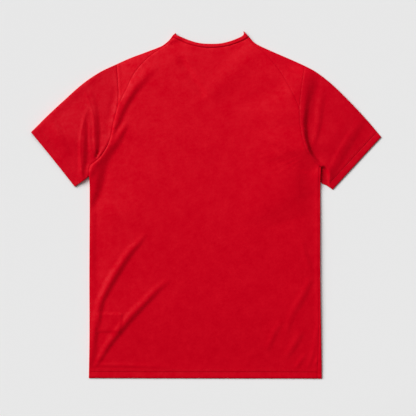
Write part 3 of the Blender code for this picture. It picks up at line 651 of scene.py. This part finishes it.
def make_object(name, corners, faces):
    """A smooth mesh with sharp rims."""
    mesh = bpy.data.meshes.new(name)
    mesh.from_pydata(corners.tolist(), [], faces)
    mesh.shade_smooth()
    mesh.set_sharp_from_angle(angle=SHARP_ANGLE)
    piece = bpy.data.objects.new(name, mesh)
    bpy.context.scene.collection.objects.link(piece)
    return piece


def backwards(edges):
    """A row of edges, run the other way."""
    return [(name, line[::-1], inset) for name, line, inset in reversed(edges)]


def panel_outline(edges):
    """The closed outline of a panel, counter-clockwise, and where each of its edges runs in it.

    Each edge is (name, line, inset): a folded edge is set in by the roll's reach, a seam by half
    the seam's gap, and a free edge by nothing."""
    around = np.vstack([line[:-1] for _, line, _ in edges])
    ahead = np.roll(around, -1, axis=0)
    if (around[:, 0] * ahead[:, 1] - ahead[:, 0] * around[:, 1]).sum() < 0:
        edges = backwards(edges)
    moved = [line + left_normals(line) * inset for _, line, inset in edges]
    for line, after in zip(moved, moved[1:] + moved[:1]):
        line[-1] = after[0] = crossing(line[-2], line[-1], after[0], after[1])
    outline = np.vstack([line[:-1] for line in moved])
    spans = {}
    start = 0
    for (name, _, _), line in zip(edges, moved):
        spans[name] = np.arange(start, start + len(line)) % len(outline)
        start += len(line) - 1
    return outline, spans


def sewing_rows(step):
    """Rows of points on and beside every row of hem stitches, on both sides of the hem's edge."""
    offsets = [row + beside for row in HEM_ROWS for beside in BESIDE_ROWS] + [HEM_TURN]
    rows = []
    for line in HEM_LINES:
        line = evenly(line, round(length_of(line) / step))
        for offset in offsets:
            rows += [line + left_normals(line) * offset * sign for sign in (-1, 1)]
    return np.vstack(rows)


def fill(outline, step):
    """Points and triangles that fill an outline; its own points come first."""
    normals = left_normals(np.vstack([outline[-1:], outline, outline[:2]]))[1:-2]
    taken = np.vstack([outline + normals * inset for inset in EDGE_ROWS] + [sewing_rows(step)])
    taken = taken[is_inside(outline, taken)]
    taken = taken[clear_of(taken, outline, EDGE_ROWS[0] * EDGE_GAP)]
    low, high = outline.min(0), outline.max(0)
    levels = np.arange(low[1], high[1], step * ROW_SHARE)
    columns = np.arange(low[0], high[0], step)
    grid = np.array([(x + (row % 2) * step / 2, y) for row, y in enumerate(levels)
                     for x in columns])
    grid = grid[is_inside(outline, grid)]
    grid = grid[clear_of(grid, np.vstack([outline, taken]), step * POINT_GAP)]
    spots = np.vstack([outline, taken, grid])
    ring = [(index, (index + 1) % len(outline)) for index in range(len(outline))]
    found = delaunay_2d_cdt(spots.tolist(), ring, [], 0, MERGE_GAP, True)
    own = np.array([came_from[0] for came_from in found[3]])
    triangles = own[np.array(found[2])]
    return spots, triangles[is_inside(outline, spots[triangles].mean(1))]


def add_upper_ply(sheet, outline, step, pitted=False):
    """The upper ply over an outline. Returns its points' indices, the outline's first."""
    spots, triangles = fill(outline, step)
    indices = sheet.lay(spots, upper_outside(spots, pitted), wall_at(spots))
    sheet.faces += indices[triangles].tolist()
    return indices


def add_lower_ply(sheet, outline):
    """The lower ply, flat on the floor and facing down. Returns its points' indices."""
    spots, triangles = fill(outline, LOWER_STEP)
    indices = sheet.lay(spots, lower_outside(spots), wall_at(spots), -1)
    sheet.faces += indices[triangles[:, ::-1]].tolist()
    return indices


def add_roll(sheet, upper, lower):
    """Cloth rolled round a folded edge, from the upper ply's points to the lower ply's.

    Both rows run counter-clockwise round the panel, so the edge's outside is on their right."""
    points = np.array(sheet.points)
    line, high, low = points[upper, :2], points[upper, 2], points[lower, 2]
    half = np.array(sheet.half)[upper, 2:]
    outward = -left_normals(line)
    rows = [upper]
    for turn in math.pi * np.arange(1, ROLL_STEPS) / ROLL_STEPS:
        out, rise = math.sin(turn), math.cos(turn)
        spots = line + (ROLL_REACH - half) * out * outward
        heights = (high + low) / 2 + (high - low) / 2 * rise
        rows.append(sheet.add(np.column_stack([spots, heights]),
                              np.column_stack([outward * out * half, rise * half])))
    sheet.add_strips(rows + [lower])


# The pieces

def make_back():
    """The back panel: one upper ply from the hem to the back neck."""
    left, right = SIDES
    corners = [side["side_seam"][-1] for side in SIDES]
    hem = part_of(smooth_line(HEM), *corners)
    hem[[0, -1]] = corners
    neck = part_of(smooth_line(BACK_NECK_SEAM), left["raglan"][0], right["raglan"][0])
    outline, _ = panel_outline([("hem", hem, 0.0), *backwards(back_half(right)),
                                ("neck", neck[::-1], SEAM_INSET), *back_half(left)])
    sheet = Sheet()
    add_upper_ply(sheet, outline, BODY_STEP)
    return sheet.make("back_cloth")


def back_half(side):
    """A side's edges of the back panel, from the neck down."""
    seam = side["side_seam"]
    armhole = ending_at(part_of(side["armhole"], side["raglan"][-1], seam[0]), seam[0])
    return [("raglan", side["raglan"], SEAM_INSET), ("armhole", armhole, SEAM_INSET),
            ("side_seam", seam, SEAM_INSET)]


def make_front():
    """The front panel: a lower ply with the V neck, wrapped round both sides to the side seams."""
    left, right = SIDES
    outline, spans = panel_outline([("hem", smooth_line(HEM), 0.0),
                                    *backwards(front_half(right, "right")),
                                    *front_half(left, "left")])
    sheet = Sheet()
    lower = add_lower_ply(sheet, outline)
    add_side_wrap(sheet, left, lower[spans["left"]])
    add_side_wrap(sheet, right, lower[spans["right"]])
    return sheet.make("front_cloth")


def front_half(side, name):
    """A side's edges of the front panel, from the point of the V down to the hem. The last one,
    the folded side, goes by the given name."""
    band_seam = part_of(side["front_band_seam"], side["forward_seam"][0])[::-1]
    armhole = part_of(side["armhole"], side["forward_seam"][-1])
    forward_seam = ending_at(side["forward_seam"], armhole[0])
    return [("band_seam", band_seam, SEAM_INSET), ("forward_seam", forward_seam, SEAM_INSET),
            ("armhole", armhole, SEAM_INSET), (name, side["side"], ROLL_REACH)]


def add_side_wrap(sheet, side, lower):
    """The front's cloth rolled over its side and laid on top as far as the side seam."""
    line = np.array(sheet.points)[lower, :2]
    seam = side["side_seam"]
    across = np.interp(-line[:, 1], -seam[:, 1], seam[:, 0])
    across += math.copysign(SEAM_INSET, seam[0, 0])
    across = np.copysign(np.minimum(np.abs(across), np.abs(line[:, 0]) - SEAM_GAP), across)
    edge_line = np.column_stack([across, line[:, 1]])
    rows = []
    for share in np.linspace(0.0, 1.0, WRAP_ROWS):
        spots = edge_line + (line - edge_line) * share
        rows.append(sheet.lay(spots, upper_outside(spots), wall_at(spots)))
    sheet.add_strips(rows)
    add_roll(sheet, rows[-1], lower)


def make_shoulder(name, side):
    """A shoulder panel: an upper wedge, folded over the shoulder edge to the forward seam."""
    neck_seam = np.array([side["raglan"][0], side["shoulder"][0]])
    band_seam = part_of(side["front_band_seam"], None, side["forward_seam"][0])[::-1]
    outline, spans = wedge(side, neck_seam, side["raglan"])
    below, spans_below = wedge(side, band_seam, side["forward_seam"])
    below[spans_below["shoulder"]] = outline[spans["shoulder"]]
    sheet = Sheet()
    upper = add_upper_ply(sheet, outline, SLEEVE_STEP)
    lower = add_lower_ply(sheet, below)
    add_roll(sheet, upper[spans["shoulder"]], lower[spans_below["shoulder"]])
    return sheet.make(name)


def wedge(side, neck, seam):
    """The outline of a shoulder's ply, between the fold and a seam that runs to the armhole."""
    armhole = part_of(side["armhole"], None, seam[-1])
    return panel_outline([
        ("neck", neck, SEAM_INSET), ("shoulder", side["shoulder"], ROLL_REACH),
        ("armhole", armhole, SEAM_INSET),
        ("seam", ending_at(seam, armhole[-1])[::-1], SEAM_INSET)])


def make_sleeve(name, side):
    """A sleeve: a tube laid flat, open at the cuff and at the armhole."""
    outline, spans = panel_outline([
        ("armhole", side["armhole"], SEAM_INSET), ("underarm", side["underarm"], ROLL_REACH),
        ("cuff", side["cuff"], 0.0), ("sleeve_top", side["sleeve_top"][::-1], ROLL_REACH)])
    sheet = Sheet()
    upper = add_upper_ply(sheet, outline, SLEEVE_STEP, pitted=side is SIDES[1])
    lower = add_lower_ply(sheet, outline)
    for fold in ("underarm", "sleeve_top"):
        add_roll(sheet, upper[spans[fold]], lower[spans[fold]])
    return sheet.make(name)


# The neck band

def band_lines():
    """The band's neck edge and sewn edge, each in two stretches: along the back neck to the right
    neck point, and from there down the V and up again to the left neck point."""
    left, right = SIDES
    back_count = round(length_of(smooth_line(BACK_NECK_EDGE)) / BAND_STEP)
    front_count = round(length_of(right["front_neck_edge"]) / BAND_STEP)
    back = [evenly(smooth_line(line), back_count) for line in (BACK_NECK_EDGE, BACK_NECK_SEAM)]
    back[1] -= left_normals(back[1]) * BAND_TUCK
    front = []
    for name in ("front_neck_edge", "front_band_seam"):
        down, up = evenly(right[name], front_count), evenly(left[name], front_count)[::-1]
        front.append(np.vstack([down, up[1:]]))
    front[1] -= left_normals(front[1]) * SEAM_INSET
    for end, inner in ((0, 1), (-1, -2)):
        across = back[1][end] - back[0][end]
        outward = np.array((-across[1], across[0])) / np.hypot(*across)
        outward *= math.copysign(1.0, (back[0][end] - back[0][inner]) @ outward)
        for line, other in zip(back, front):
            line[end] -= outward * ROLL_REACH
            other[-1 - end] = line[end]
    return back, front


def ribs(spots):
    """Height of the ribs: every other station along the band is high."""
    return RIB_DEPTH * np.cos(math.pi * np.arange(len(spots)))


def make_neck_band():
    """The neck band: a ring along the back neck, folded over at both neck points, down the V."""
    back, front = band_lines()
    sheet = Sheet()
    above, below = [], []
    tips = back[0][[0, -1]]
    for share in np.linspace(0.0, 1.0, BAND_ROWS):
        spots = back[0] + (back[1] - back[0]) * share
        to_tip = np.hypot(*(spots[:, None] - tips).transpose(2, 0, 1)).min(1)
        crown = np.interp(share, *zip(*BAND_PROFILE)) + TIP_RISE * (1 - ease(to_tip / TIP_RUN))
        outside = upper_outside(spots) + BAND_RISE + crown + ribs(spots)
        above.append(sheet.lay(spots, outside, BAND_WALL))
        spots = front[0] + (front[1] - front[0]) * share
        below.append(sheet.lay(spots, RIB_DEPTH + ribs(spots), BAND_WALL, -1))
    above, below = np.array(above), np.array(below)
    sheet.add_strips(above)
    sheet.add_strips(below)
    add_roll(sheet, above[::-1, -1], below[::-1, 0])
    add_roll(sheet, above[:, 0], below[:, -1])
    return sheet.make("neck_band_rib")


# Stitches

def stitch_shape():
    """One stitch that runs along +X: its corners, ring by ring, and its faces."""
    corners = []
    for along, girth in STITCH_RINGS:
        for turn in 2 * math.pi * np.arange(STITCH_SIDES) / STITCH_SIDES:
            corners.append((along * STITCH_LENGTH, STITCH_RADIUS * girth * math.cos(turn),
                            STITCH_RADIUS * girth * math.sin(turn) * STITCH_FLATNESS))
    rings = np.arange(len(corners)).reshape(-1, STITCH_SIDES)
    faces = [(a, b, b + STITCH_SIDES, a + STITCH_SIDES)
             for ring in rings[:-1] for a, b in zip(ring, np.roll(ring, -1))]
    return corners, faces + [rings[0][::-1], rings[-1]]


def stitch_rows(name, rows):
    """Short raised stitches along rows of (line, height of the cloth's outside along it, up)."""
    shape, pattern = stitch_shape()
    corners, faces = [], []
    for line, heights, up in rows:
        count = int(length_of(line) / STITCH_PITCH)
        places = evenly(line, count)
        levels = np.interp(np.linspace(0, 1, count), np.linspace(0, 1, len(heights)), heights)
        runs = np.gradient(places, axis=0)
        runs /= np.hypot(*runs.T)[:, None]
        for (x, y), level, (dx, dy) in zip(places, levels + STITCH_LIFT * up, runs):
            faces += [[int(corner) + len(corners) for corner in face] for face in pattern]
            corners += [(x + dx * along - dy * out, y + dy * along + dx * out, level + rise)
                        for along, out, rise in shape]
    return make_object(name, np.array(corners) * MM, faces)


def hem_stitches(name, line, inward):
    """A twin needle's two rows along an edge, on both plies. inward is the cloth's side of it."""
    rows = []
    for offset in HEM_ROWS:
        moved = line + left_normals(line) * offset * inward
        moved = evenly(moved, round(length_of(moved) / GUIDE_STEP))[1:-1]
        rows.append((moved, upper_outside(moved), 1))
        rows.append((moved, lower_outside(moved) + STITCH_RADIUS * STITCH_SINK, -1))
    return stitch_rows(name, rows)


# Materials

def wire(tree, node, *terms, **values):
    """Feeds a node's inputs, in order or by name with _ for a space, and sets its properties. An
    input is linked where its value is another node's output."""
    pairs = list(zip(node.inputs, terms))
    for key, value in values.items():
        socket = node.inputs.get(key.replace("_", " "))
        if socket is None:
            setattr(node, key, value)
        else:
            pairs.append((socket, value))
    for socket, value in pairs:
        if isinstance(value, bpy.types.NodeSocket):
            tree.links.new(value, socket)
        else:
            socket.default_value = value


def add(tree, kind, output, *terms, **values):
    """An output of a new shader node, wired up."""
    node = tree.nodes.new("ShaderNode" + kind)
    wire(tree, node, *terms, **values)
    return node.outputs[output]


def tones(tree, factor, colour, ramp):
    """A colour that goes from tone to tone as the factor does: ramp lists (factor, tone)."""
    output = add(tree, "ValToRGB", "Color", factor)
    for element, (position, tone) in zip(output.node.color_ramp.elements, ramp):
        element.position = position
        element.color = (*(part * tone for part in colour), 1.0)
    return output


def new_material(name, roughness):
    """A material with its node tree and shader."""
    material = bpy.data.materials.new(name)
    material.use_nodes = True
    shader = material.node_tree.nodes["Principled BSDF"]
    shader.inputs["Roughness"].default_value = roughness
    return material, material.node_tree, shader


def cloth_material(name, colour, knit_pitch=0.9, knit_depth=0.12, roughness=0.4):
    """Polyester knit: a satin face with fine wales, and colour that is very slightly uneven."""
    material, tree, shader = new_material(name, roughness)
    place = add(tree, "TexCoord", "Object")
    fleck = add(tree, "TexNoise", "Fac", Vector=place, Scale=FLECK_SCALE, Detail=5.0,
                Roughness=1.0)
    waves = [add(tree, "TexWave", "Fac", Vector=place, wave_type="BANDS",
                 bands_direction=direction, Scale=2 * math.pi / (WAVE_UNIT * pitch * MM),
                 Distortion=0.6, Detail=1.0)
             for direction, pitch in (("X", knit_pitch), ("Y", knit_pitch * COURSE_SHARE))]
    knit = add(tree, "Math", 0, *waves, operation="MULTIPLY")
    relief = add(tree, "Bump", "Normal", Height=knit, Strength=0.5, Distance=knit_depth * MM)
    gloss = add(tree, "Math", 0, fleck, GLOSS_SLOPE, GLOSS_START, operation="MULTIPLY_ADD")
    wire(tree, shader, Base_Color=tones(tree, fleck, colour, FLECK_RAMP), Normal=relief,
         Specular_IOR_Level=gloss)
    return material


def thread_material(name, colour):
    """Twisted polyester thread: a little shinier than the cloth, with its plies as bump."""
    material, tree, shader = new_material(name, THREAD_ROUGHNESS)
    place = add(tree, "TexCoord", "Object")
    fibre = add(tree, "TexNoise", "Fac", Vector=place, Scale=THREAD_FIBRES, Detail=2.0)
    twist = add(tree, "TexWave", "Fac", Vector=place, wave_type="BANDS",
                bands_direction="DIAGONAL", Scale=THREAD_TWISTS, Distortion=0.4)
    relief = add(tree, "Bump", "Normal", Height=twist, Strength=0.6, Distance=THREAD_RELIEF * MM)
    wire(tree, shader, Base_Color=tones(tree, fibre, colour, THREAD_RAMP), Normal=relief,
         Specular_IOR_Level=THREAD_GLOSS)
    return material


# The setting

def lamp_light(x, y):
    """How strongly the lamp lights the floor at a spot, against its light at the origin."""
    centre = np.array(LAMP_PLACE)
    home = np.linalg.norm(centre)
    level = np.cross((0.0, 0.0, 1.0), centre)
    level /= np.linalg.norm(level)
    upright = np.cross(centre, level) / home
    total = 0.0
    for across in LAMP_SPOTS:
        for along in LAMP_SPOTS:
            lamp = centre + (level * across + upright * along) * LAMP_SIZE
            ray = np.array((x, y, 0.0)) - lamp
            reach = np.linalg.norm(ray)
            total += max(-(ray @ centre), 0.0) * lamp[2] / reach ** 4
    return total * home ** 2 / centre[2] / len(LAMP_SPOTS) ** 2


def make_floor():
    """A pale floor, a little darker towards the lamp, so that it looks evenly lit."""
    steps = round(2 * FLOOR_REACH / FLOOR_STEP) + 1
    places = np.linspace(-FLOOR_REACH, FLOOR_REACH, steps)
    corners = np.array([(x, y, FLOOR_LEVEL) for y in places for x in places])
    faces = [(row + column, row + column + 1, row + column + steps + 1, row + column + steps)
             for row in range(0, steps * (steps - 1), steps) for column in range(steps - 1)]
    floor = make_object("floor", corners, faces)
    for spot, (x, y, _) in zip(floor.data.color_attributes.new("tone", "FLOAT_COLOR", "POINT").data,
                               corners):
        light = SUN_SHARE + SKY_SHARE + LAMP_SHARE * lamp_light(x, y)
        spot.color = (*(FLOOR_TONE / max(light, LEAST_LIGHT),) * 3, 1.0)
    material, tree, shader = new_material("floor_paper", 1.0)
    wire(tree, shader, Specular_IOR_Level=0.0,
         Base_Color=add(tree, "VertexColor", "Color", layer_name="tone"))
    floor.data.materials.append(material)


def make_lights():
    """A soft sun, a wide lamp beyond the neck, and an even sky."""
    world = bpy.data.worlds.new("studio")
    world.use_nodes = True
    sky = world.node_tree.nodes["Background"]
    sky.inputs["Color"].default_value = (1.0, 1.0, 1.0, 1.0)
    sky.inputs["Strength"].default_value = SKY_SHARE
    bpy.context.scene.world = world
    sun = bpy.data.lights.new("window", "SUN")
    sun.energy = SUN_SHARE * math.pi / math.sin(SUN_RISE)
    sun.angle = SUN_SOFTNESS
    across = math.cos(SUN_RISE)
    to_sun = Vector((-across * math.sin(SUN_TURN), across * math.cos(SUN_TURN),
                     math.sin(SUN_RISE)))
    aim_at_origin(put(sun, to_sun))
    lamp = bpy.data.lights.new("lamp", "AREA")
    lamp.size = LAMP_SIZE
    away = Vector(LAMP_PLACE)
    lamp.energy = LAMP_SHARE * math.pi ** 2 * away.length ** 3 / away.z
    aim_at_origin(put(lamp, away))


def put(data, spot):
    """A light or camera at a spot, facing down."""
    item = bpy.data.objects.new(data.name, data)
    item.location = spot
    bpy.context.scene.collection.objects.link(item)
    return item


def aim_at_origin(item):
    item.rotation_euler = Vector(item.location).to_track_quat("Z", "Y").to_euler()


def make_setting():
    """The floor, the lights, and a camera straight above."""
    bpy.context.scene.view_settings.view_transform = "Standard"
    make_floor()
    make_lights()
    camera = bpy.data.cameras.new("camera")
    camera.lens = LENS
    bpy.context.scene.camera = put(camera, (*CAMERA_PLACE, CAMERA_HEIGHT))


def dress(piece, node, material, stitches=()):
    """Gives a cloth piece its material, hangs it and its stitches under the body, and hides its solid."""
    piece.data.materials.append(material)
    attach(piece, BODY)
    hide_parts(node)
    for row in stitches:
        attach(row, BODY)


def main():
    """Makes every piece, and the setting."""
    body_cloth = cloth_material("body_cloth", RED)
    # the sleeves get a darker copy of the body's cloth: painted shade
    sleeve_cloth = cloth_material("sleeve_cloth", SHADED_SLEEVE_RED)
    band_cloth = cloth_material("band_cloth", RED, knit_pitch=0.8, knit_depth=0.1, roughness=0.5)
    thread = thread_material("thread", RED)
    left, right = SIDES
    body_rows = hem_stitches("hem_stitches", smooth_line(HEM), 1)
    left_rows = hem_stitches("cuff_stitches_left", left["cuff"], -1)
    right_rows = hem_stitches("cuff_stitches_right", right["cuff"], 1)
    for rows in (body_rows, left_rows, right_rows):
        rows.data.materials.append(thread)
    #         piece, node, material, its stitches
    dress(make_front(), "front", body_cloth, [body_rows])
    dress(make_back(), "back", body_cloth)
    for name, side, rows in (("left", left, left_rows), ("right", right, right_rows)):
        dress(make_shoulder("shoulder_cloth_" + name, side), "shoulder_" + name,
              body_cloth)
        dress(make_sleeve("sleeve_cloth_" + name, side), "sleeve_" + name,
              sleeve_cloth, [rows])
    dress(make_neck_band(), "neck_band", band_cloth)
    make_setting()


main()
